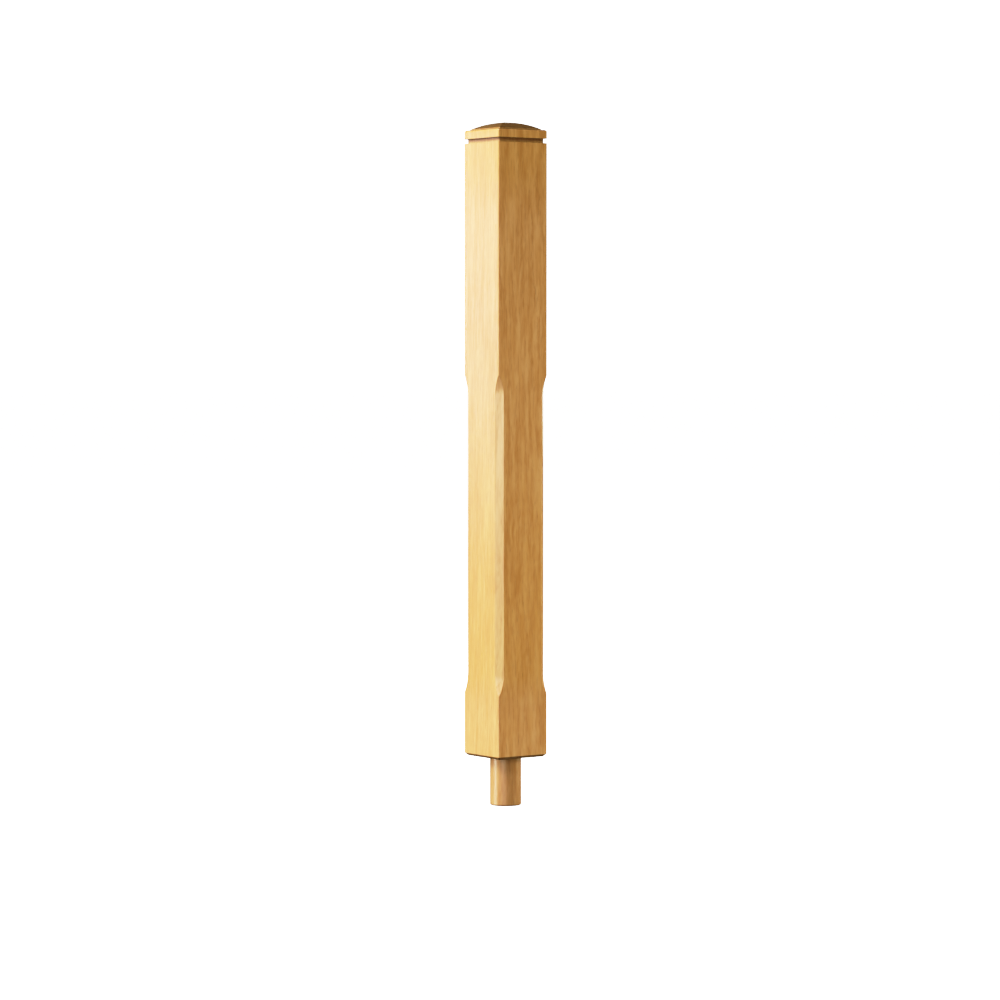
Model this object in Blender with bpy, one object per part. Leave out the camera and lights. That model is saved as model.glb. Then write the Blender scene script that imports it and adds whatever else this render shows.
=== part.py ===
"""A square oak newel post with four stopped chamfers, a low hipped cap and a round spigot.

The post is one piece of timber. Its origin is the centre of the spigot's end, with +Z up.
Run it with blender --background --python part.py, or from Blender's text editor.
"""

import math

import bmesh
import bpy
from mathutils import Matrix

# Square timber, in metres
POST_SIDE = 0.091
ARRIS_RADIUS = 0.002
FOOT_CHAMFER = 0.004

# Heights up the post
SPIGOT_LENGTH = 0.075
FOOT_BLOCK_HEIGHT = 0.095
SHOULDER_TO_RAIL_BLOCK = 0.583
RAIL_BLOCK_HEIGHT = 0.350

# Spigot
SPIGOT_DIAMETER = 0.048
SPIGOT_EASE = 0.0025

# Stopped chamfers, and the round cutter that leaves their curved ends
CHAMFER_LEG = 0.010
CUTTER_RADIUS = 0.080

# Cap: a groove, a square band, and a dome that steps up from a ledge
GROOVE_HEIGHT = 0.0065
GROOVE_DEPTH = 0.004
BAND_HEIGHT = 0.0135
BAND_EASE = 0.003
LEDGE_WIDTH = 0.0065
DOME_STEP = 0.001
DOME_RISE = 0.011

# How finely curves are cut into flats
ARRIS_STEPS = 4
DOME_STEPS = 14
RUN_OUT_STEPS = 16
SPIGOT_SIDES = 64

# How far a cutter or a joined shape runs past the surface it meets
OVERRUN = 0.003

OAK_COLOUR = (0.62, 0.38, 0.17, 1.0)
OAK_ROUGHNESS = 0.42

HALF_SIDE = POST_SIDE / 2
SHOULDER = SPIGOT_LENGTH
CHAMFER_BOTTOM = SHOULDER + FOOT_BLOCK_HEIGHT
CHAMFER_TOP = SHOULDER + SHOULDER_TO_RAIL_BLOCK
GROOVE_BOTTOM = CHAMFER_TOP + RAIL_BLOCK_HEIGHT
GROOVE_TOP = GROOVE_BOTTOM + GROOVE_HEIGHT
BAND_TOP = GROOVE_TOP + BAND_HEIGHT
APEX = BAND_TOP + DOME_STEP + DOME_RISE
DOME_HALF_SIDE = HALF_SIDE - LEDGE_WIDTH


def clear_scene():
    for obj in list(bpy.data.objects):
        bpy.data.objects.remove(obj, do_unlink=True)


def oak():
    material = bpy.data.materials.new("clear_finished_oak")
    material.use_nodes = True
    shader = material.node_tree.nodes["Principled BSDF"]
    shader.inputs["Base Color"].default_value = OAK_COLOUR
    shader.inputs["Roughness"].default_value = OAK_ROUGHNESS
    shader.inputs["Metallic"].default_value = 0.0
    material.diffuse_color = OAK_COLOUR
    return material


def add_object(name, mesh_builder):
    """Turn a bmesh into an object in the scene, with its faces pointing out."""
    bmesh.ops.recalc_face_normals(mesh_builder, faces=mesh_builder.faces)
    mesh = bpy.data.meshes.new(name)
    mesh_builder.to_mesh(mesh)
    mesh_builder.free()
    obj = bpy.data.objects.new(name, mesh)
    bpy.context.scene.collection.objects.link(obj)
    return obj


def square_outline(half_side):
    """Points round a square whose corners are eased, anticlockwise from its +X +Y corner."""
    rounding = min(ARRIS_RADIUS, half_side)
    inset = (half_side - rounding) * math.sqrt(2)
    points = []
    for corner in range(4):
        diagonal = math.pi / 2 * (corner + 0.5)
        for step in range(ARRIS_STEPS + 1):
            angle = math.pi / 2 * (corner + step / ARRIS_STEPS)
            x = inset * math.cos(diagonal) + rounding * math.cos(angle)
            y = inset * math.sin(diagonal) + rounding * math.sin(angle)
            points.append((x, y))
    return points


def eased_band_edge():
    """Sections that round the band's top edge, as (height, half side) pairs."""
    sections = []
    for step in range(ARRIS_STEPS + 1):
        angle = math.pi / 2 * step / ARRIS_STEPS
        height = BAND_TOP - BAND_EASE * (1 - math.sin(angle))
        sections.append((height, HALF_SIDE - BAND_EASE * (1 - math.cos(angle))))
    return sections


def dome_sections():
    """Sections of the dome, whose four sides are arcs that meet on the diagonals."""
    arc_radius = (DOME_HALF_SIDE**2 + DOME_RISE**2) / (2 * DOME_RISE)
    half_angle = math.asin(DOME_HALF_SIDE / arc_radius)
    sections = []
    for step in range(DOME_STEPS):
        angle = half_angle * (1 - step / DOME_STEPS)
        height = APEX - arc_radius * (1 - math.cos(angle))
        sections.append((height, arc_radius * math.sin(angle)))
    return sections


def post_sections():
    """(height, half side) of every section of the square timber, from the foot to the dome."""
    groove_half_side = HALF_SIDE - GROOVE_DEPTH
    return [
        (SHOULDER, HALF_SIDE - FOOT_CHAMFER),
        (SHOULDER + FOOT_CHAMFER, HALF_SIDE),
        (GROOVE_BOTTOM, HALF_SIDE),
        (GROOVE_BOTTOM, groove_half_side),
        (GROOVE_TOP, groove_half_side),
        (GROOVE_TOP, HALF_SIDE),
        *eased_band_edge(),
        (BAND_TOP, DOME_HALF_SIDE),
        *dome_sections(),
    ]


def square_timber():
    """The post without its chamfers and spigot, skinned over its square sections."""
    build = bmesh.new()
    rings = []
    for height, half_side in post_sections():
        outline = square_outline(half_side)
        rings.append([build.verts.new((x, y, height)) for x, y in outline])
    for lower, upper in zip(rings, rings[1:]):
        count = len(lower)
        for i in range(count):
            j = (i + 1) % count
            build.faces.new((lower[i], lower[j], upper[j], upper[i]))
    build.faces.new(rings[0][::-1])
    apex = build.verts.new((0.0, 0.0, APEX))
    last = rings[-1]
    for i, vertex in enumerate(last):
        build.faces.new((vertex, last[(i + 1) % len(last)], apex))
    return add_object("newel_post", build)


def chamfer_profile():
    """Outline of the stopped chamfer's cutter, as (distance out from the axis, height) points.

    The flat runs between two arcs of the round cutter, each leaving the timber at its arris.
    """
    depth = CHAMFER_LEG / math.sqrt(2)
    flat = HALF_SIDE * math.sqrt(2) - depth
    run_out = math.sqrt(CUTTER_RADIUS**2 - (CUTTER_RADIUS - depth) ** 2)
    end_angle = math.acos(1 - (depth + OVERRUN) / CUTTER_RADIUS)
    lower_end = []
    upper_end = []
    for step in range(RUN_OUT_STEPS + 1):
        angle = end_angle * step / RUN_OUT_STEPS
        out = flat + CUTTER_RADIUS * (1 - math.cos(angle))
        along = CUTTER_RADIUS * math.sin(angle) - run_out
        lower_end.append((out, CHAMFER_BOTTOM - along))
        upper_end.append((out, CHAMFER_TOP + along))
    return lower_end[::-1] + upper_end


def chamfer_cutter():
    """One cutter, standing on the +X side. It is turned to each corner as it is placed."""
    build = bmesh.new()
    half_width = CHAMFER_LEG / math.sqrt(2) + OVERRUN
    near = [build.verts.new((x, -half_width, z)) for x, z in chamfer_profile()]
    side = build.faces.new(near)
    moved = bmesh.ops.extrude_face_region(build, geom=[side])["geom"]
    far = [item for item in moved if isinstance(item, bmesh.types.BMVert)]
    bmesh.ops.translate(build, verts=far, vec=(0.0, 2 * half_width, 0.0))
    return build


def spigot():
    """The turned spigot, eased at its end, running up into the timber by the overrun."""
    build = bmesh.new()
    radius = SPIGOT_DIAMETER / 2
    length = SPIGOT_LENGTH + OVERRUN
    bmesh.ops.create_cone(
        build,
        cap_ends=True,
        segments=SPIGOT_SIDES,
        radius1=radius,
        radius2=radius,
        depth=length,
        matrix=Matrix.Translation((0.0, 0.0, length / 2)),
    )
    end_edges = [e for e in build.edges if all(v.co.z < OVERRUN for v in e.verts)]
    bmesh.ops.bevel(
        build,
        geom=end_edges,
        offset=SPIGOT_EASE,
        offset_type="OFFSET",
        segments=3,
        profile=0.5,
        affect="EDGES",
    )
    return build


def hide_tool(tool):
    tool.hide_render = True
    tool.display_type = "WIRE"


def add_boolean(target, tool, operation):
    modifier = target.modifiers.new(tool.name, "BOOLEAN")
    modifier.operation = operation
    modifier.solver = "EXACT"
    modifier.object = tool
    hide_tool(tool)


def main():
    clear_scene()
    post = square_timber()
    post.data.materials.append(oak())

    add_boolean(post, add_object("spigot_blank", spigot()), "UNION")
    first = add_object("chamfer_cutter_1", chamfer_cutter())
    for corner in range(4):
        cutter = first
        if corner:
            cutter = bpy.data.objects.new(f"chamfer_cutter_{corner + 1}", first.data)
            bpy.context.scene.collection.objects.link(cutter)
        cutter.rotation_euler.z = math.pi / 4 + corner * math.pi / 2
        add_boolean(post, cutter, "DIFFERENCE")

    post.data.shade_smooth()
    post.data.set_sharp_from_angle(angle=math.radians(24))


main()
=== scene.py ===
"""The looks of a square oak newel post, and the plain studio that it stands in.

The timber is one fine mesh, skinned over its own sections, and its grain is solid: growth rings,
rays and pores run through the whole post, so each face, chamfer and end shows the cut it makes.
"""

import logging
import math
from collections.abc import Mapping, Sequence
from dataclasses import dataclass
from enum import Enum
from typing import Any, TypeAlias

import bpy
import numpy as np
from mathutils import Matrix, Vector

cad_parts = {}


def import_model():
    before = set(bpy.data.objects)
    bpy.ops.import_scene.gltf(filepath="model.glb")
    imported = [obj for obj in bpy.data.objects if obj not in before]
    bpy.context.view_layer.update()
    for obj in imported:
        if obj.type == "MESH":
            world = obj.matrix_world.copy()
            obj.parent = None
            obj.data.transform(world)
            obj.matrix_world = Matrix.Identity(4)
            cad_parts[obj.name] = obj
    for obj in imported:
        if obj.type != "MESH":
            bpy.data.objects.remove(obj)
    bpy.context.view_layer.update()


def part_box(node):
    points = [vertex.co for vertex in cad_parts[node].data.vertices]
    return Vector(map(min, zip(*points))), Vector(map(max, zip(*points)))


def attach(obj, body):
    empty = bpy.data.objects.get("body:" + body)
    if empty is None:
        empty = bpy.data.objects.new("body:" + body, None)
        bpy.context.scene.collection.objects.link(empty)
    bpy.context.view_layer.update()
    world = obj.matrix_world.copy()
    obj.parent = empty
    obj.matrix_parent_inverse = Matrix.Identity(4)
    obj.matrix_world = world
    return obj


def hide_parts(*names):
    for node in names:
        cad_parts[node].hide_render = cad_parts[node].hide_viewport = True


LOG = logging.getLogger("newel_post")
POST_NODE = "newel_post"

# Sockets and curves that only their numbers tell apart
MIX_LOW_COLOUR = 6
MIX_HIGH_COLOUR = 7
MIX_COLOUR_RESULT = 2
ALL_CHANNELS_CURVE = 3

Colour: TypeAlias = tuple[float, float, float]
Step: TypeAlias = tuple[float, float]
Amount: TypeAlias = "Signal | float"


class Surface(Enum):
    """How the saw or plane has cut the timber at a surface."""

    LONG_GRAIN = "long grain"
    END_GRAIN = "end grain"


@dataclass(frozen=True)
class Signal:
    """One output of a material's nodes. Arithmetic on it adds Math nodes."""

    bench: "Bench"
    socket: bpy.types.NodeSocket

    def __add__(self, other: Amount) -> "Signal":
        """Add a value or another signal."""
        return self.bench.math("ADD", self, other)

    def __radd__(self, other: float) -> "Signal":
        """Add this signal to a value."""
        return self.bench.math("ADD", other, self)

    def __sub__(self, other: Amount) -> "Signal":
        """Take a value or another signal away."""
        return self.bench.math("SUBTRACT", self, other)

    def __rsub__(self, other: float) -> "Signal":
        """Take this signal away from a value."""
        return self.bench.math("SUBTRACT", other, self)

    def __mul__(self, other: Amount) -> "Signal":
        """Multiply by a value or another signal."""
        return self.bench.math("MULTIPLY", self, other)

    def __rmul__(self, other: float) -> "Signal":
        """Multiply a value by this signal."""
        return self.bench.math("MULTIPLY", other, self)

    def __truediv__(self, other: Amount) -> "Signal":
        """Divide by a value or another signal."""
        return self.bench.math("DIVIDE", self, other)

    def __pow__(self, other: Amount) -> "Signal":
        """Raise to a power."""
        return self.bench.math("POWER", self, other)


class Bench:
    """Adds nodes to one node tree and joins them."""

    def __init__(self, tree: bpy.types.NodeTree) -> None:
        """Keep the tree to work on.

        Args:
            tree: The node tree of a material or a world.
        """
        self.tree = tree

    def node(
        self,
        kind: str,
        settings: Mapping[str, Any] | None = None,
        inputs: Mapping[str | int, Any] | None = None,
        output: str | int = 0,
    ) -> Signal:
        """Add one node.

        Args:
            kind: The node's type, such as ShaderNodeTexNoise.
            settings: The node's own settings, set before its sockets.
            inputs: A value or a signal for each socket, by name or number.
            output: The socket to hand back, by name or number.

        Returns:
            The signal of that output.
        """
        made = self.tree.nodes.new(kind)
        for name, value in (settings or {}).items():
            setattr(made, name, value)
        for key, value in (inputs or {}).items():
            if isinstance(value, Signal):
                self.tree.links.new(value.socket, made.inputs[key])
            else:
                made.inputs[key].default_value = value
        return Signal(self, made.outputs[output])

    def finish(self, shader: Signal, kind: str) -> None:
        """Join the last shader to an output node of the given type."""
        output = self.tree.nodes.new(kind)
        self.tree.links.new(shader.socket, output.inputs["Surface"])

    def math(self, operation: str, *values: Amount) -> Signal:
        """Add a Math node over values and signals."""
        return self.node("ShaderNodeMath", {"operation": operation}, dict(enumerate(values)))

    def limit(self, value: Signal) -> Signal:
        """Hold a signal between 0 and 1."""
        return self.node("ShaderNodeClamp", None, {"Value": value})

    def rise(self, value: Signal, low: float, high: float) -> Signal:
        """Turn a signal into a smooth step.

        Args:
            value: The signal to read.
            low: Where the step begins, at 0.
            high: Where the step ends, at 1. It may be below low, for a falling step.

        Returns:
            A signal from 0 to 1.
        """
        if high < low:
            return 1.0 - self.rise(value, high, low)
        settings = {"interpolation_type": "SMOOTHSTEP"}
        return self.node("ShaderNodeMapRange", settings, {0: value, 1: low, 2: high})

    def vector(self, x: Amount, y: Amount, z: Amount) -> Signal:
        """Join three numbers into a vector."""
        return self.node("ShaderNodeCombineXYZ", None, {0: x, 1: y, 2: z})

    def split(self, vector: Signal) -> tuple[Signal, Signal, Signal]:
        """Take a vector apart into its x, y and z."""
        parts = self.node("ShaderNodeSeparateXYZ", None, {0: vector}).socket.node.outputs
        return Signal(self, parts[0]), Signal(self, parts[1]), Signal(self, parts[2])

    def stretch(self, vector: Signal, by: Colour) -> Signal:
        """Multiply a vector by three numbers."""
        return self.node("ShaderNodeVectorMath", {"operation": "MULTIPLY"}, {0: vector, 1: by})

    def noise(self, vector: Signal, detail: float = 2.0, roughness: float = 0.5) -> Signal:
        """Read soft noise, about 0.5 on average, with features one unit across."""
        inputs = {"Vector": vector, "Scale": 1.0, "Detail": detail, "Roughness": roughness}
        return self.node("ShaderNodeTexNoise", None, inputs)

    def blend(self, share: Amount, low: Any, high: Any, how: str = "MIX") -> Signal:
        """Mix two colours.

        Args:
            share: How much of the second colour shows, from 0 to 1.
            low: The first colour, as a value or a signal.
            high: The second colour, as a value or a signal.
            how: The way that Blender's Mix node joins them.

        Returns:
            The mixed colour.
        """
        settings = {"data_type": "RGBA", "blend_type": how}
        low, high = (c if isinstance(c, Signal) else (*c, 1.0) for c in (low, high))
        inputs = {0: share, MIX_LOW_COLOUR: low, MIX_HIGH_COLOUR: high}
        return self.node("ShaderNodeMix", settings, inputs, MIX_COLOUR_RESULT)


def new_material(name: str) -> tuple[bpy.types.Material, Bench]:
    """Make an empty material with nodes.

    Args:
        name: The material's name.

    Returns:
        The material, and the bench that builds its nodes.
    """
    material = bpy.data.materials.new(name)
    material.use_nodes = True
    material.node_tree.nodes.clear()
    return material, Bench(material.node_tree)


@dataclass(frozen=True)
class Marks:
    """Where on the post its finish changes, in metres."""

    shoulder: float
    groove_bottom: float
    groove_top: float
    groove_wall: float
    face: float


@dataclass(frozen=True)
class Pattern:
    """How often a pattern repeats in a metre of timber, in each direction of growth."""

    outward: float
    around: float
    upward: float


@dataclass(frozen=True)
class GrainBend:
    """One size of bend in the grain: its waves in a metre, and its reach in metres."""

    across: float
    along: float
    outward: float
    around: float
    detail: float = 1.0


@dataclass(frozen=True)
class Growth:
    """Where the wood at a point of the timber stood in the tree, as signals."""

    outward: Signal
    around: Signal
    upward: Signal
    ring: Signal

    def noise(self, pattern: Pattern, detail: float = 1.0) -> Signal:
        """Read soft noise that follows the growth.

        Args:
            pattern: How often the noise repeats in each direction.
            detail: How much finer noise lies on it.

        Returns:
            A signal about 0.5 on average.
        """
        bench = self.outward.bench
        place = bench.vector(
            self.outward * pattern.outward,
            self.around * pattern.around,
            self.upward * pattern.upward,
        )
        return bench.noise(place, detail=detail)


@dataclass(frozen=True)
class Weights:
    """How much each mark of the grain adds to a value."""

    streaks: float = 0.0
    pores: float = 0.0
    porous: float = 0.0
    rays: float = 0.0


@dataclass(frozen=True)
class Grain:
    """The marks of the grain, as signals: 1 on a mark and 0 off it, and about 0 for streaks."""

    streaks: Signal
    pores: Signal
    porous: Signal
    rays: Signal

    def weigh(self, level: float, weights: Weights) -> Signal:
        """Add up the marks.

        Args:
            level: The value where there are no marks.
            weights: How much each mark adds.

        Returns:
            The value over the surface.
        """
        total: Amount = level
        for mark, weight in (
            (self.streaks, weights.streaks),
            (self.pores, weights.pores),
            (self.porous, weights.porous),
            (self.rays, weights.rays),
        ):
            if weight:
                total = total + weight * mark
        return total


@dataclass(frozen=True)
class OakFinish:
    """Oak under a clear satin finish.

    Lengths are in metres and colours are linear. A step holds where it begins and where it ends.
    """

    # Growth of the tree
    pith: tuple[float, float] = (0.062, 0.108)
    pith_lean: tuple[float, float] = (0.006, -0.021)
    metres_per_turn: float = 0.15
    ring_width: float = 0.0034
    uneven_rings: float = 2.6
    uneven_per_metre: float = 85.0
    bends: tuple[GrainBend, ...] = (
        GrainBend(across=9.0, along=1.3, outward=0.016, around=0.01),
        GrainBend(across=24.0, along=3.4, outward=0.0035, around=0.0),
        GrainBend(across=55.0, along=17.0, outward=0.0030, around=0.0024, detail=2.0),
    )

    # Marks of the grain
    early_from: Step = (0.0, 0.10)
    early_until: Step = (0.52, 0.22)
    weakest_ring: float = 0.45
    pore_pattern: Pattern = Pattern(1500.0, 1500.0, 62.0)
    pore_step: Step = (0.56, 0.70)
    stray_pores: float = 0.22
    ray_pattern: Pattern = Pattern(55.0, 950.0, 58.0)
    ray_step: Step = (0.63, 0.74)
    streak_patterns: tuple[tuple[Pattern, float], ...] = (
        (Pattern(100.0, 75.0, 5.0), 1.2),
        (Pattern(260.0, 200.0, 22.0), 1.0),
        (Pattern(420.0, 340.0, 64.0), 0.8),
    )
    quieter_faces: float = 0.38

    # Colours of the wood
    honey: Colour = (0.520, 0.270, 0.085)
    straw: Colour = (0.600, 0.355, 0.140)
    russet: Colour = (0.425, 0.190, 0.050)
    pore: Colour = (0.200, 0.082, 0.020)
    warmth_pattern: Pattern = Pattern(180.0, 140.0, 13.0)
    warmth_step: Step = (0.34, 0.66)
    straw_share: float = 0.60
    russet_share: float = 0.36
    russet_marks: Weights = Weights(streaks=-1.6, porous=0.15)
    ray_share: float = 0.35
    pore_share: float = 0.55

    # Tones along the post
    golden: Colour = (0.985, 0.965, 0.77)
    golden_from: Step = (0.15, 0.21)
    golden_until: Step = (0.64, 0.27)
    golden_top: Step = (0.88, 0.99)
    pale: Colour = (1.10, 1.13, 1.16)
    pale_over_shoulder: Step = (0.13, 0.02)
    # Painted shade: the groove's colour is darkened as if the band over it shaded it
    groove_painted_shade: Colour = (0.38, 0.30, 0.20)
    groove_skin: float = 0.0004
    groove_low: Step = (-0.001, 0.004)
    groove_high: Step = (0.002, 0.001)
    spigot_tone: Colour = (0.84, 0.83, 0.88)
    spigot_edge: float = 0.001
    heart_tone: Colour = (0.77, 0.68, 0.59)
    heart_across: tuple[float, float] = (0.813, -0.582)
    heart_edge: Step = (-0.015, -0.003)
    heart_fade: Step = (0.003, 0.009)
    heart_fading: float = 0.7

    # Painted shade on surfaces that face down, a painted highlight on those that face up, and the
    # darker tone of end grain
    # Painted shade: darker colour where a surface faces down
    downward_painted_shade: Colour = (0.75, 0.735, 0.69)
    downward_shade_step: Step = (0.0, 0.22)
    # Painted highlight: paler colour where a surface faces up, most on the lower run-outs
    upward_painted_highlight: Colour = (1.20, 1.21, 1.32)
    upward_highlight_from: Step = (0.04, 0.22)
    upward_highlight_until: Step = (0.62, 0.46)
    end_stain: Colour = (0.255, 0.242, 0.208)
    end_step: Step = (0.50, 0.84)

    # Sheen and relief
    satin: float = 0.32
    satin_marks: Weights = Weights(pores=0.16, porous=0.05, rays=-0.05)
    groove_matt: float = 0.35
    end_matt: float = 0.32
    varnish_ior: float = 1.48
    end_ior: float = 1.40
    end_specular: float = 0.15
    relief_level: float = 0.5
    relief_marks: Weights = Weights(streaks=0.16, pores=-0.6, porous=-0.12, rays=0.05)
    relief_strength: float = 0.35
    relief_depth: float = 0.00025

    def material(self, marks: Marks) -> bpy.types.Material:
        """Build the finish.

        Args:
            marks: Where on the post the finish changes.

        Returns:
            A material whose grain runs along Z of the object that it is on.
        """
        material, bench = new_material("oak_clear_satin")
        place = bench.node("ShaderNodeTexCoord", output="Object")
        facing_x, _, facing_up = bench.split(bench.node("ShaderNodeTexCoord", output="Normal"))
        growth = self._growth(bench, place)
        grain = self._grain(bench, growth, facing_x)
        # Mask of the groove's painted shade, which also makes the finish there rougher
        groove = self._groove_shade_share(bench, place, marks)
        spigot = bench.rise(growth.upward, marks.shoulder, marks.shoulder - self.spigot_edge)
        colour = self._wood(bench, growth, grain)
        # Over the wood's colour: tones along the post, painted shade in the groove and on downward
        # faces, and a painted highlight on upward faces
        for share, tone in (
            (self._golden_share(bench, growth), self.golden),
            (self._pale_share(bench, growth, marks), self.pale),
            (groove, self.groove_painted_shade),
            (spigot, self.spigot_tone),
            (spigot * self._heart_share(bench, place), self.heart_tone),
            (self._downward_shade_share(bench, facing_up), self.downward_painted_shade),
            (self._upward_highlight_share(bench, facing_up), self.upward_painted_highlight),
        ):
            colour = bench.blend(share, colour, self._toned(bench, colour, tone))

        shaders = self._shaders(bench, colour, grain, groove)
        ends = bench.rise(bench.math("ABSOLUTE", facing_up), *self.end_step)
        joined = bench.node(
            "ShaderNodeMixShader",
            None,
            {0: ends, 1: shaders[Surface.LONG_GRAIN], 2: shaders[Surface.END_GRAIN]},
        )
        bench.finish(joined, "ShaderNodeOutputMaterial")
        return material

    def _shaders(
        self, bench: Bench, colour: Signal, grain: Grain, groove: Signal
    ) -> dict[Surface, Signal]:
        """Make a shader for each way that the timber is cut.

        Args:
            bench: The material's nodes.
            colour: The wood's colour.
            grain: The marks of the grain.
            groove: How far a point lies inside the groove, whose colour carries painted shade;
                here it makes the finish rougher.

        Returns:
            The shaders, by kind of cut.
        """
        bump_inputs = {
            "Strength": self.relief_strength,
            "Distance": self.relief_depth,
            "Height": grain.weigh(self.relief_level, self.relief_marks),
        }
        bump = bench.node("ShaderNodeBump", None, bump_inputs)
        rough = grain.weigh(self.satin, self.satin_marks) + self.groove_matt * groove
        long_grain = {
            "Base Color": colour,
            "Roughness": rough,
            "Normal": bump,
            "IOR": self.varnish_ior,
        }
        end_grain = {
            "Base Color": self._toned(bench, colour, self.end_stain),
            "Roughness": rough + self.end_matt,
            "Normal": bump,
            "IOR": self.end_ior,
            "Specular IOR Level": self.end_specular,
        }
        return {
            Surface.LONG_GRAIN: bench.node("ShaderNodeBsdfPrincipled", None, long_grain),
            Surface.END_GRAIN: bench.node("ShaderNodeBsdfPrincipled", None, end_grain),
        }

    @staticmethod
    def _toned(bench: Bench, colour: Signal, tone: Colour) -> Signal:
        """Multiply a colour by a tone."""
        return bench.blend(1.0, colour, tone, "MULTIPLY")

    def _growth(self, bench: Bench, place: Signal) -> Growth:
        """Find the place in the tree of each point of the timber.

        Args:
            bench: The material's nodes.
            place: The point on the post.

        Returns:
            Distance from the pith, distance round it, height and ring number.
        """
        x, y, z = bench.split(place)
        from_pith_x = x - self.pith[0] - self.pith_lean[0] * z
        from_pith_y = y - self.pith[1] - self.pith_lean[1] * z
        outward = (from_pith_x**2.0 + from_pith_y**2.0) ** 0.5
        around = self.metres_per_turn * bench.math("ARCTAN2", from_pith_y, 0.0 - from_pith_x)
        for bend in self.bends:
            waves = bench.stretch(place, (bend.across, bend.across, bend.along))
            sway = bench.noise(waves, detail=bend.detail) - 0.5
            outward = outward + bend.outward * sway
            around = around + bend.around * sway
        along_rings = bench.vector(outward * self.uneven_per_metre, 0.5, 0.5)
        uneven = bench.noise(along_rings, detail=1.0)
        ring = outward / self.ring_width + self.uneven_rings * uneven
        return Growth(outward, around, z, ring)

    def _grain(self, bench: Bench, growth: Growth, facing_x: Signal) -> Grain:
        """Find the marks of the grain.

        Args:
            bench: The material's nodes.
            growth: The place in the tree.
            facing_x: How far the surface faces along X.

        Returns:
            The marks over the timber.
        """
        porous = self._porous_band(bench, growth)
        pore_marks = bench.rise(growth.noise(self.pore_pattern), *self.pore_step)
        pores = pore_marks * (self.stray_pores + (1.0 - self.stray_pores) * porous)
        rays = bench.rise(growth.noise(self.ray_pattern), *self.ray_step)
        streaks = self._streaks(bench, growth, facing_x)
        return Grain(streaks=streaks, pores=pores, porous=porous, rays=rays)

    def _porous_band(self, bench: Bench, growth: Growth) -> Signal:
        """The open-pored wood that each ring starts with.

        Args:
            bench: The material's nodes.
            growth: The place in the tree.

        Returns:
            1 in the porous early wood, 0 in the dense late wood.
        """
        within = bench.math("FRACT", growth.ring)
        number = bench.math("FLOOR", growth.ring)
        strength = bench.node("ShaderNodeTexWhiteNoise", {"noise_dimensions": "1D"}, {"W": number})
        shape = bench.rise(within, *self.early_from) * bench.rise(within, *self.early_until)
        return shape * (self.weakest_ring + (1.0 - self.weakest_ring) * strength)

    def _streaks(self, bench: Bench, growth: Growth, facing_x: Signal) -> Signal:
        """Long soft streaks along the grain, quieter on the two faces sawn along the rays.

        Args:
            bench: The material's nodes.
            growth: The place in the tree.
            facing_x: How far the surface faces along X.

        Returns:
            A signal about 0 on average, above it where the wood is paler.
        """
        total: Amount = 0.0
        for pattern, share in self.streak_patterns:
            total = share * (growth.noise(pattern) - 0.5) + total
        return total * (1.0 - self.quieter_faces * bench.math("ABSOLUTE", facing_x))

    def _wood(self, bench: Bench, growth: Growth, grain: Grain) -> Signal:
        """Join the marks of the grain into one colour.

        Args:
            bench: The material's nodes.
            growth: The place in the tree.
            grain: The marks of the grain.

        Returns:
            The colour of the wood before the finish tones it.
        """
        warmth = bench.rise(growth.noise(self.warmth_pattern, detail=2.0), *self.warmth_step)
        body = bench.blend(warmth * self.straw_share, self.honey, self.straw)
        darker = bench.limit(grain.weigh(self.russet_share, self.russet_marks))
        body = bench.blend(darker, body, self.russet)
        body = bench.blend(grain.rays * self.ray_share, body, self.straw)
        return bench.blend(grain.pores * self.pore_share, body, self.pore)

    def _golden_share(self, bench: Bench, growth: Growth) -> Signal:
        """Find where the timber is more golden: on the lower shaft and towards the top.

        Args:
            bench: The material's nodes.
            growth: The place in the tree.

        Returns:
            1 where it is most golden, 0 where it is not.
        """
        height = growth.upward
        low = bench.rise(height, *self.golden_from) * bench.rise(height, *self.golden_until)
        return low + bench.rise(height, *self.golden_top)

    def _pale_share(self, bench: Bench, growth: Growth, marks: Marks) -> Signal:
        """Where the timber is paler: over the foot block."""
        high, low = self.pale_over_shoulder
        return bench.rise(growth.upward, marks.shoulder + high, marks.shoulder + low)

    def _heart_share(self, bench: Bench, place: Signal) -> Signal:
        """Find where a redder streak runs through the timber, along the grain.

        Args:
            bench: The material's nodes.
            place: The point on the post.

        Returns:
            0 before the streak, 1 in it, and less again behind it.
        """
        x, y, _ = bench.split(place)
        across = self.heart_across[0] * x + self.heart_across[1] * y
        fade = self.heart_fading * bench.rise(across, *self.heart_fade)
        return bench.rise(across, *self.heart_edge) * (1.0 - fade)

    def _groove_shade_share(self, bench: Bench, place: Signal, marks: Marks) -> Signal:
        """How far a point lies inside the groove, where shade is painted in as a darker colour.

        Args:
            bench: The material's nodes.
            place: The point on the post.
            marks: Where the groove is.

        Returns:
            0 outside the groove, rising to 1 under the band.
        """
        x, y, z = bench.split(place)
        out = bench.math("MAXIMUM", bench.math("ABSOLUTE", x), bench.math("ABSOLUTE", y))
        half_way = (marks.face + marks.groove_wall) / 2
        inside = bench.rise(out, marks.face - self.groove_skin, half_way)
        low = [marks.groove_bottom + offset for offset in self.groove_low]
        high = [marks.groove_top + offset for offset in self.groove_high]
        return inside * bench.rise(z, *low) * bench.rise(z, *high)

    def _downward_shade_share(self, bench: Bench, facing_up: Signal) -> Signal:
        """Painted shade: where the surface faces down, away from the lights, its colour is
        darkened.
        """
        return bench.rise(0.0 - facing_up, *self.downward_shade_step)

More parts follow.
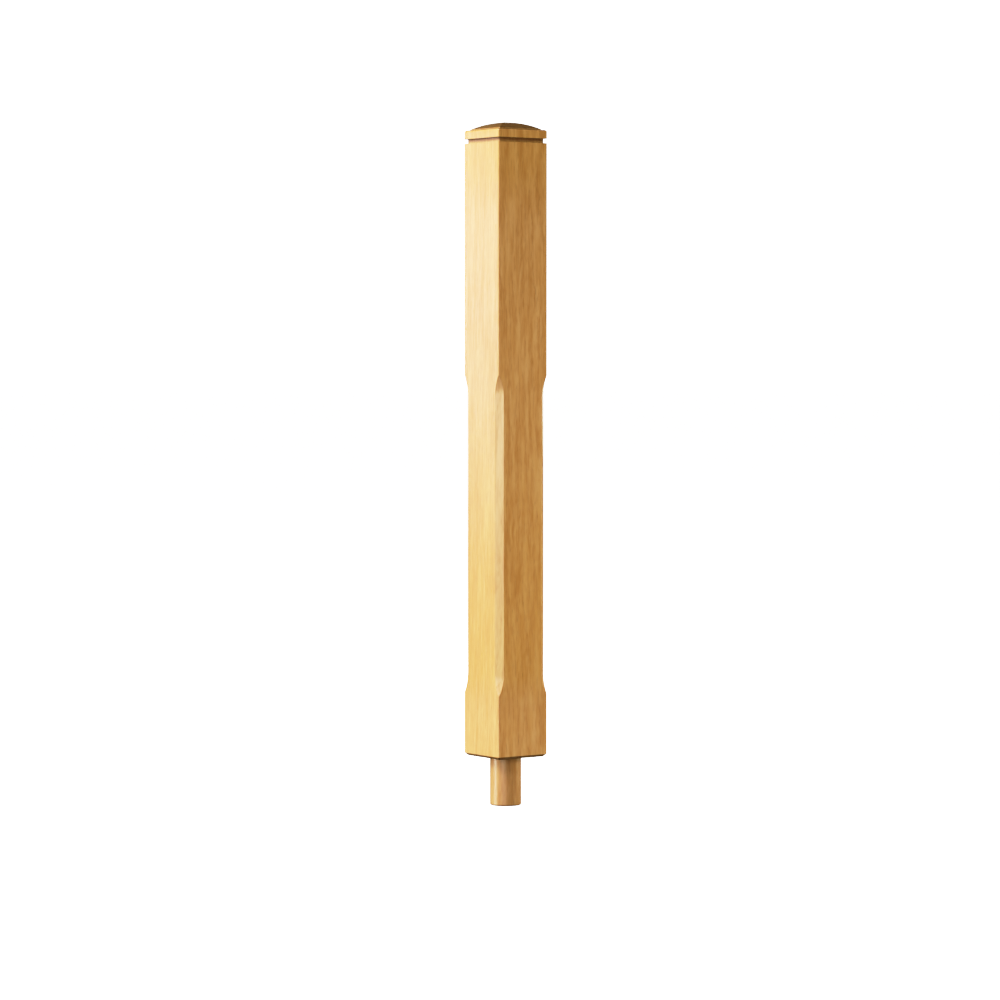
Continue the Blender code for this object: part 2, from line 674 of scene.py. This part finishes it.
    def _upward_highlight_share(self, bench: Bench, facing_up: Signal) -> Signal:
        """Painted highlight: where the surface faces up towards the lights, its colour is made
        paler.
        """
        return bench.rise(facing_up, *self.upward_highlight_from) * bench.rise(facing_up, *self.upward_highlight_until)


@dataclass(frozen=True)
class Bend:
    """A corner of a profile: its height, its distance from the axis and how it is eased."""

    height: float
    out: float
    ease: float = 0.0

    @property
    def point(self) -> Vector:
        """The corner as a 2-D point."""
        return Vector((self.height, self.out))


@dataclass(frozen=True)
class Section:
    """One level section of the square timber."""

    height: float
    half_side: float
    arris: float
    chamfer_at: float


@dataclass
class NewelPost:
    """The post, from the end of its spigot to the top of its dome. Lengths are in metres."""

    side: float
    apex: float
    finish: OakFinish
    arris: float = 0.0021
    foot_chamfer: float = 0.004
    spigot_length: float = 0.075
    spigot_diameter: float = 0.048
    spigot_ease: float = 0.0025
    foot_block: float = 0.095
    shoulder_to_rail_block: float = 0.583
    rail_block: float = 0.350
    chamfer_leg: float = 0.010
    cutter_radius: float = 0.080
    groove_height: float = 0.0065
    groove_depth: float = 0.004
    band_height: float = 0.0135
    band_ease: float = 0.003
    ledge: float = 0.0065
    dome_step: float = 0.001
    hip_ease: float = 0.0008
    edge_ease: float = 0.0005
    shoulder_ring: float = 0.003
    shoulder_rim: float = 0.012
    run_out_margin: float = 0.004
    dome_margin: float = 0.0002
    corner_reach: float = 0.016
    corner_share: float = 0.45
    corner_span: float = 1.5
    arris_share: float = 0.4
    corner_rays: int = 601
    corner_halvings: int = 36
    corner_steps: int = 34
    flat_steps: int = 14
    ease_steps: int = 6
    run_out_steps: int = 44
    dome_steps: int = 30
    hold: float = 0.0007

    @property
    def half_side(self) -> float:
        """Half the width of the square timber."""
        return self.side / 2

    @property
    def chamfer_depth(self) -> float:
        """How far the chamfer's flat lies inside the sharp corner."""
        return self.chamfer_leg / math.sqrt(2)

    def build(self) -> bpy.types.Object:
        """Make the post's mesh, dress it and put it in the frame.

        Returns:
            The finished object.
        """
        mesh = bpy.data.meshes.new("newel_post_timber")
        points, faces = self._skin(self._rings())
        mesh.from_pydata(points.tolist(), [], faces)
        mesh.validate()
        mesh.shade_smooth()
        mesh.materials.append(self.finish.material(self._marks()))
        post = bpy.data.objects.new("newel_post_timber", mesh)
        bpy.context.scene.collection.objects.link(post)
        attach(post, "root")
        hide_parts(POST_NODE)
        return post

    def _marks(self) -> Marks:
        """Where on the post its finish changes."""
        groove_bottom = self.spigot_length + self.shoulder_to_rail_block + self.rail_block
        return Marks(
            shoulder=self.spigot_length,
            groove_bottom=groove_bottom,
            groove_top=groove_bottom + self.groove_height,
            groove_wall=self.half_side - self.groove_depth,
            face=self.half_side,
        )

    def _eased(self, bends: Sequence[Bend]) -> list[Vector]:
        """Round the corners of a profile.

        Args:
            bends: The profile's corners in order.

        Returns:
            Points along the profile, with arcs in place of the eased corners.
        """
        path = [bends[0].point]
        for before, bend, after in zip(bends, bends[1:], bends[2:]):
            if not bend.ease:
                path.append(bend.point)
                continue
            inward = (bend.point - before.point).normalized()
            onward = (after.point - bend.point).normalized()
            turn = inward.angle_signed(onward)
            reach = bend.ease * math.tan(abs(turn) / 2)
            side = math.copysign(1.0, inward.cross(onward))
            first = bend.point - inward * reach
            centre = first + Vector((-inward.y, inward.x)) * side * bend.ease
            spoke = first - centre
            path.append(first - inward * self.hold)
            for step in range(self.ease_steps + 1):
                angle = side * abs(turn) * step / self.ease_steps
                path.append(centre + Matrix.Rotation(angle, 2) @ spoke)
            path.append(bend.point + onward * (reach + self.hold))
        path.append(bends[-1].point)
        return path

    def _spigot_path(self) -> list[Vector]:
        """The spigot's profile.

        Returns:
            Height and distance out, from near the middle of its end to the shoulder round it.
        """
        radius = self.spigot_diameter / 2
        shoulder = self.spigot_length
        return self._eased(
            (
                Bend(0.0, radius / 2),
                Bend(0.0, radius, self.spigot_ease),
                Bend(shoulder, radius, self.edge_ease),
                Bend(shoulder, radius + self.shoulder_ring),
            )
        )

    def _timber_path(self) -> list[Vector]:
        """The square timber's profile.

        Returns:
            Height and distance out, from the shoulder to just short of the apex.
        """
        marks = self._marks()
        shoulder, groove_bottom, groove_top = marks.shoulder, marks.groove_bottom, marks.groove_top
        full, waist = marks.face, marks.groove_wall
        band_top = groove_top + self.band_height
        dome = full - self.ledge
        ease = self.edge_ease
        return self._eased(
            (
                Bend(shoulder, full - self.shoulder_rim),
                Bend(shoulder, full - self.foot_chamfer, ease),
                Bend(shoulder + self.foot_chamfer, full, ease),
                Bend(groove_bottom, full, ease),
                Bend(groove_bottom, waist, ease),
                Bend(groove_top, waist, ease),
                Bend(groove_top, full, ease),
                Bend(band_top, full, self.band_ease),
                Bend(band_top, dome, ease / 2),
                *(Bend(*point) for point in self._dome_arc(band_top + self.dome_step, dome)),
            )
        )

    def _dome_arc(self, foot: float, half: float) -> list[tuple[float, float]]:
        """The arc that each of the dome's four sides follows.

        Args:
            foot: The height of the arc's foot.
            half: Half the dome's width at its foot.

        Returns:
            Height and distance out, from the foot to just short of the apex.
        """
        rise = self.apex - foot
        radius = (half**2 + rise**2) / (2 * rise)
        spread = math.asin(half / radius)
        arc = []
        for step in range(self.dome_steps):
            angle = spread * (1 - step / self.dome_steps)
            arc.append((self.apex - radius * (1 - math.cos(angle)), radius * math.sin(angle)))
        return arc

    def _chamfer_at(self, height: float) -> float:
        """How far from the axis the chamfer's cutter lies at a height.

        Args:
            height: The height up the post.

        Returns:
            The distance of the cut across a corner, well outside it where there is none.
        """
        corner = self.half_side * math.sqrt(2)
        bottom = self.spigot_length + self.foot_block
        top = self.spigot_length + self.shoulder_to_rail_block
        flat = corner - self.chamfer_depth
        past_flat = max(bottom + self._run_out() - height, height - top + self._run_out(), 0.0)
        if past_flat >= self.cutter_radius:
            return 2 * corner
        lift = self.cutter_radius - math.sqrt(self.cutter_radius**2 - past_flat**2)
        return flat + lift

    def _run_out(self) -> float:
        """The length over which the round cutter leaves the timber."""
        lower = self.cutter_radius - self.chamfer_depth
        return math.sqrt(self.cutter_radius**2 - lower**2)

    def _sections(self) -> list[Section]:
        """Every section of the square timber.

        Returns:
            The sections in order, from the shoulder to just short of the apex.
        """
        path = [(point.x, point.y) for point in self._timber_path()]
        bottom = self.spigot_length + self.foot_block
        top = self.spigot_length + self.shoulder_to_rail_block
        past = self.run_out_margin
        span = self._run_out() + past + self.hold
        steps = range(self.run_out_steps + 1)
        cuts = [bottom - past + span * step / self.run_out_steps for step in steps]
        cuts += [top + past - span * step / self.run_out_steps for step in steps]
        first_full = next(i for i, (_, out) in enumerate(path) if out >= self.half_side)
        long_run = next(i for i in range(first_full, len(path)) if path[i][0] > bottom)
        levels = path[:long_run] + [(z, self.half_side) for z in sorted(cuts)] + path[long_run:]
        return [Section(z, out, self._arris_at(z, out), self._chamfer_at(z)) for z, out in levels]

    def _arris_at(self, height: float, out: float) -> float:
        """How far the upright arris, or the dome's hip, is rounded.

        Args:
            height: The height up the post.
            out: How far the face lies from the axis there.

        Returns:
            The radius at that point of the profile.
        """
        over_groove = height > self._marks().groove_top
        on_dome = over_groove and out < self.half_side - self.ledge + self.dome_margin
        return self.hip_ease if on_dome else self.arris

    def _corner(self, section: Section) -> np.ndarray:
        """Points round one corner of a section, closest where it bends most.

        Args:
            section: The section to follow.

        Returns:
            Points in the +X +Y quarter, from the +X face to the +Y face.
        """
        reach = min(self.corner_reach, self.corner_share * section.half_side)
        start = section.half_side - reach
        angles = np.linspace(0.0, math.pi / 2, self.corner_rays)
        rays = np.stack((np.cos(angles), np.sin(angles)), axis=1)
        near = np.zeros(len(angles))
        far = np.full(len(angles), self.corner_span * reach)
        for _ in range(self.corner_halvings):
            middle = (near + far) / 2
            outside = self._gap(start + rays * middle[:, None], section) > 0
            far = np.where(outside, middle, far)
            near = np.where(outside, near, middle)
        outline = start + rays * near[:, None]
        steps = np.diff(outline, axis=0)
        lengths = np.hypot(steps[:, 0], steps[:, 1])
        headings = np.unwrap(np.arctan2(steps[:, 1], steps[:, 0]))
        bends = np.abs(np.gradient(headings))
        pace = lengths / lengths.sum() + bends / bends.sum()
        walked = np.concatenate(([0.0], np.cumsum(pace)))
        wanted = np.linspace(0.0, walked[-1], self.corner_steps + 1)
        return np.stack([np.interp(wanted, walked, outline[:, i]) for i in (0, 1)], axis=1)

    def _gap(self, points: np.ndarray, section: Section) -> np.ndarray:
        """How far points lie outside the section's eased and chamfered corner.

        Args:
            points: Points in the +X +Y quarter.
            section: The section to measure to.

        Returns:
            A distance for each point, below 0 inside.
        """
        to_faces = points - section.half_side
        arris = min(section.arris, self.arris_share * section.half_side)
        block = self._rounded_meet(to_faces[:, 0], to_faces[:, 1], arris)
        to_chamfer = points.sum(axis=1) / math.sqrt(2) - section.chamfer_at
        return self._rounded_meet(block, to_chamfer, self.edge_ease)

    @staticmethod
    def _rounded_meet(first: np.ndarray, second: np.ndarray, ease: float) -> np.ndarray:
        """Join two surfaces at an edge eased to a radius."""
        over = np.hypot(np.maximum(first + ease, 0.0), np.maximum(second + ease, 0.0))
        return np.minimum(np.maximum(first, second), -ease) + over

    def _square_ring(self, section: Section) -> np.ndarray:
        """Points all round one section.

        Args:
            section: The section to follow.

        Returns:
            Points from the +X face, anticlockwise.
        """
        corner = self._corner(section)
        share = np.linspace(0.0, 1.0, self.flat_steps + 1)[1:-1, None]
        across = np.array((-corner[-1, 0], corner[-1, 1]))
        quarter = np.concatenate((corner, corner[-1] * (1 - share) + across * share))
        turned = [quarter]
        for _ in range(3):
            last = turned[-1]
            turned.append(np.stack((-last[:, 1], last[:, 0]), axis=1))
        flat = np.concatenate(turned)
        return np.column_stack((flat, np.full(len(flat), section.height)))

    def _rings(self) -> list[np.ndarray]:
        """Every ring of the mesh.

        Returns:
            Rings with the same number of points, from the spigot's end to the dome.
        """
        squares = [self._square_ring(section) for section in self._sections()]
        bearings = np.arctan2(squares[0][:, 1], squares[0][:, 0])
        circle = np.stack((np.cos(bearings), np.sin(bearings)), axis=1)
        rounds = [
            np.column_stack((circle * point.y, np.full(len(circle), point.x)))
            for point in self._spigot_path()
        ]
        return rounds + squares

    def _skin(self, rings: Sequence[np.ndarray]) -> tuple[np.ndarray, list[tuple[int, ...]]]:
        """Join rings of points into one closed surface.

        Args:
            rings: Rings with the same number of points, from bottom to top.

        Returns:
            The points and the faces.
        """
        count = len(rings[0])
        ends = np.array(((0.0, 0.0, rings[0][0, 2]), (0.0, 0.0, self.apex)))
        points = np.concatenate((*rings, ends))
        bottom = len(points) - 2
        top = len(points) - 1
        last = (len(rings) - 1) * count
        faces: list[tuple[int, ...]] = []
        for i in range(count):
            j = (i + 1) % count
            faces.append((bottom, j, i))
            for ring in range(len(rings) - 1):
                low = ring * count
                high = low + count
                faces.append((low + i, low + j, high + j, high + i))
            faces.append((last + i, last + j, top))
        return points, faces


@dataclass(frozen=True)
class TableFinish:
    """A matt white table that glows evenly, as in a catalogue's cut-out pictures."""

    white: Colour = (0.90, 0.90, 0.90)
    shade: Colour = (0.86, 0.86, 0.86)
    matt: float = 0.92
    specular: float = 0.1
    glow: float = 1.95
    mottle_per_metre: float = 3.0
    tooth_per_metre: float = 900.0
    tooth_strength: float = 0.08
    tooth_depth: float = 0.0002

    def material(self) -> bpy.types.Material:
        """Build the finish.

        Returns:
            A white material with a faint mottle and tooth.
        """
        material, bench = new_material("studio_table_white")
        place = bench.node("ShaderNodeTexCoord", output="Object")
        mottle = bench.noise(bench.stretch(place, (self.mottle_per_metre,) * 3), detail=3.0)
        tooth = bench.noise(bench.stretch(place, (self.tooth_per_metre,) * 3), detail=2.0)
        bump_inputs = {
            "Strength": self.tooth_strength,
            "Distance": self.tooth_depth,
            "Height": tooth,
        }
        bump = bench.node("ShaderNodeBump", None, bump_inputs)
        table = bench.node(
            "ShaderNodeBsdfPrincipled",
            None,
            {
                "Base Color": bench.blend(mottle, self.shade, self.white),
                "Roughness": self.matt,
                "Normal": bump,
                "Specular IOR Level": self.specular,
                "Emission Color": (1.0, 1.0, 1.0, 1.0),
                "Emission Strength": self.glow,
            },
        )
        bench.finish(table, "ShaderNodeOutputMaterial")
        return material


@dataclass(frozen=True)
class SoftBox:
    """One soft light that faces the post.

    Lengths are in metres and angles in degrees. The finish reflects it only if it is mirrored.
    """

    name: str
    bearing: float
    distance: float
    height: float
    width: float
    tall: float
    radiance: float
    tint: Colour = (1.0, 1.0, 1.0)
    mirrored: bool = True

    def hang(self) -> None:
        """Hang the light upright, facing the post's axis."""
        lamp = bpy.data.lights.new(self.name, "AREA")
        lamp.shape = "RECTANGLE"
        lamp.size = self.width
        lamp.size_y = self.tall
        lamp.energy = self.radiance * math.pi * self.width * self.tall
        lamp.color = self.tint
        light = bpy.data.objects.new(self.name, lamp)
        bearing = math.radians(self.bearing)
        outward = Vector((math.cos(bearing), math.sin(bearing), 0.0))
        light.location = outward * self.distance
        light.location.z = self.height
        light.rotation_euler = outward.to_track_quat("Z", "Y").to_euler()
        light.visible_glossy = self.mirrored
        bpy.context.scene.collection.objects.link(light)


@dataclass
class Studio:
    """The table, the lights and the camera. Lengths are in metres, angles in degrees."""

    table: TableFinish
    table_radius: float = 60.0
    table_rings: int = 24
    table_spokes: int = 96
    room_light: float = 0.10
    room_tint: Colour = (1.0, 0.88, 0.66)
    backdrop: float = 3.0
    soft_boxes: tuple[SoftBox, ...] = (
        SoftBox("key_light", 162.0, 3.0, 3.0, 2.0, 2.0, 23.5),
        SoftBox("key_bounce", 155.0, 3.0, 0.1, 1.0, 1.0, 27.0, (1.0, 1.0, 0.95)),
        SoftBox("side_sheen", 107.0, 3.0, 0.9, 1.0, 1.0, 18.5, (0.82, 0.88, 1.0)),
        SoftBox("front_sheen", 215.0, 3.0, 0.7, 1.0, 1.0, 12.8, (1.0, 0.98, 0.92)),
        SoftBox("front_high", 214.0, 3.0, 2.3, 1.0, 0.8, 18.0, (1.0, 1.0, 1.0)),
        SoftBox("foot_fill", 215.0, 0.8, 0.12, 0.5, 0.3, 3.2, (1.0, 0.95, 0.67)),
        SoftBox("right_rim", 322.0, 3.0, 0.6, 1.0, 1.0, 5.2, (1.0, 0.60, 0.12)),
        SoftBox("low_rim", 345.0, 1.2, 0.25, 0.8, 0.5, 15.5, (0.96, 1.0, 0.85), mirrored=False),
        SoftBox("back_fill", 48.0, 3.0, 1.2, 1.4, 1.4, 9.0, (1.0, 0.96, 0.88)),
    )
    shoulder: tuple[tuple[float, float], ...] = (
        (0.30, 0.30),
        (0.60, 0.595),
        (1.00, 0.81),
        (1.30, 0.90),
        (1.60, 0.96),
    )
    white_point: float = 2.0
    camera_azimuth: float = -35.6
    camera_distance: float = 5.5
    camera_height: float = 0.69
    aim_height: float = 0.4663
    aim_left: float = 0.0085
    lens: float = 130.0

    def build(self) -> None:
        """Set up everything round the post."""
        self._table()
        self._room()
        for soft_box in self.soft_boxes:
            soft_box.hang()
        self._tone()
        self._camera()

    def _table(self) -> None:
        """Lay the round table under the spigot. It lights nothing but the picture."""
        rings, spokes = self.table_rings, self.table_spokes
        points = [(0.0, 0.0, 0.0)]
        for ring in range(1, rings + 1):
            radius = self.table_radius * (ring / rings) ** 2
            for spoke in range(spokes):
                angle = math.tau * spoke / spokes
                points.append((radius * math.cos(angle), radius * math.sin(angle), 0.0))
        faces = [(0, 1 + i, 1 + (i + 1) % spokes) for i in range(spokes)]
        for ring in range(rings - 1):
            low = 1 + ring * spokes
            for i in range(spokes):
                j = (i + 1) % spokes
                faces.append((low + i, low + spokes + i, low + spokes + j, low + j))
        mesh = bpy.data.meshes.new("studio_table")
        mesh.from_pydata(points, [], faces)
        mesh.materials.append(self.table.material())
        table = bpy.data.objects.new("studio_table", mesh)
        table.visible_diffuse = False
        table.visible_glossy = False
        bpy.context.scene.collection.objects.link(table)

    def _room(self) -> None:
        """Fill the room with dim even light, against a white backdrop."""
        world = bpy.data.worlds.new("studio_room")
        world.use_nodes = True
        world.node_tree.nodes.clear()
        bench = Bench(world.node_tree)
        seen = bench.node("ShaderNodeLightPath", output="Is Camera Ray")
        strength = self.room_light + (self.backdrop - self.room_light) * seen
        tint = bench.blend(seen, self.room_tint, (1.0, 1.0, 1.0))
        light = bench.node("ShaderNodeBackground", None, {"Color": tint, "Strength": strength})
        bench.finish(light, "ShaderNodeOutputWorld")
        bpy.context.scene.world = world

    def _tone(self) -> None:
        """Give the picture a soft shoulder, so that bright wood keeps its colour."""
        view = bpy.context.scene.view_settings
        view.view_transform = "Standard"
        view.use_curve_mapping = True
        mapping = view.curve_mapping
        mapping.white_level = (self.white_point,) * 3
        curve = mapping.curves[ALL_CHANNELS_CURVE]
        for light, shown in self.shoulder:
            curve.points.new(light / self.white_point, shown)
        mapping.update()

    def _camera(self) -> None:
        """Stand the camera where the post is seen on its corner, from just over mid height."""
        azimuth = math.radians(self.camera_azimuth)
        back = Vector((math.sin(azimuth), -math.cos(azimuth), 0.0))
        right = Vector((math.cos(azimuth), math.sin(azimuth), 0.0))
        place = back * self.camera_distance - right * self.aim_left
        place.z = self.camera_height
        aim = Vector((0.0, 0.0, self.aim_height)) - right * self.aim_left
        data = bpy.data.cameras.new("studio_camera")
        data.lens = self.lens
        camera = bpy.data.objects.new("studio_camera", data)
        camera.location = place
        camera.rotation_euler = (aim - place).to_track_quat("-Z", "Y").to_euler()
        bpy.context.scene.collection.objects.link(camera)
        bpy.context.scene.camera = camera


def main() -> None:
    """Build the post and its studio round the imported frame."""
    logging.basicConfig(level=logging.INFO, format="%(name)s: %(message)s")
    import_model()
    low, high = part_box(POST_NODE)

    post = NewelPost(side=high.x - low.x, apex=high.z, finish=OakFinish()).build()
    LOG.info("%s: %d faces", post.name, len(post.data.polygons))
    Studio(table=TableFinish()).build()
    LOG.info("studio: table, room light, soft boxes, tone and camera")


if __name__ == "__main__":
    main()
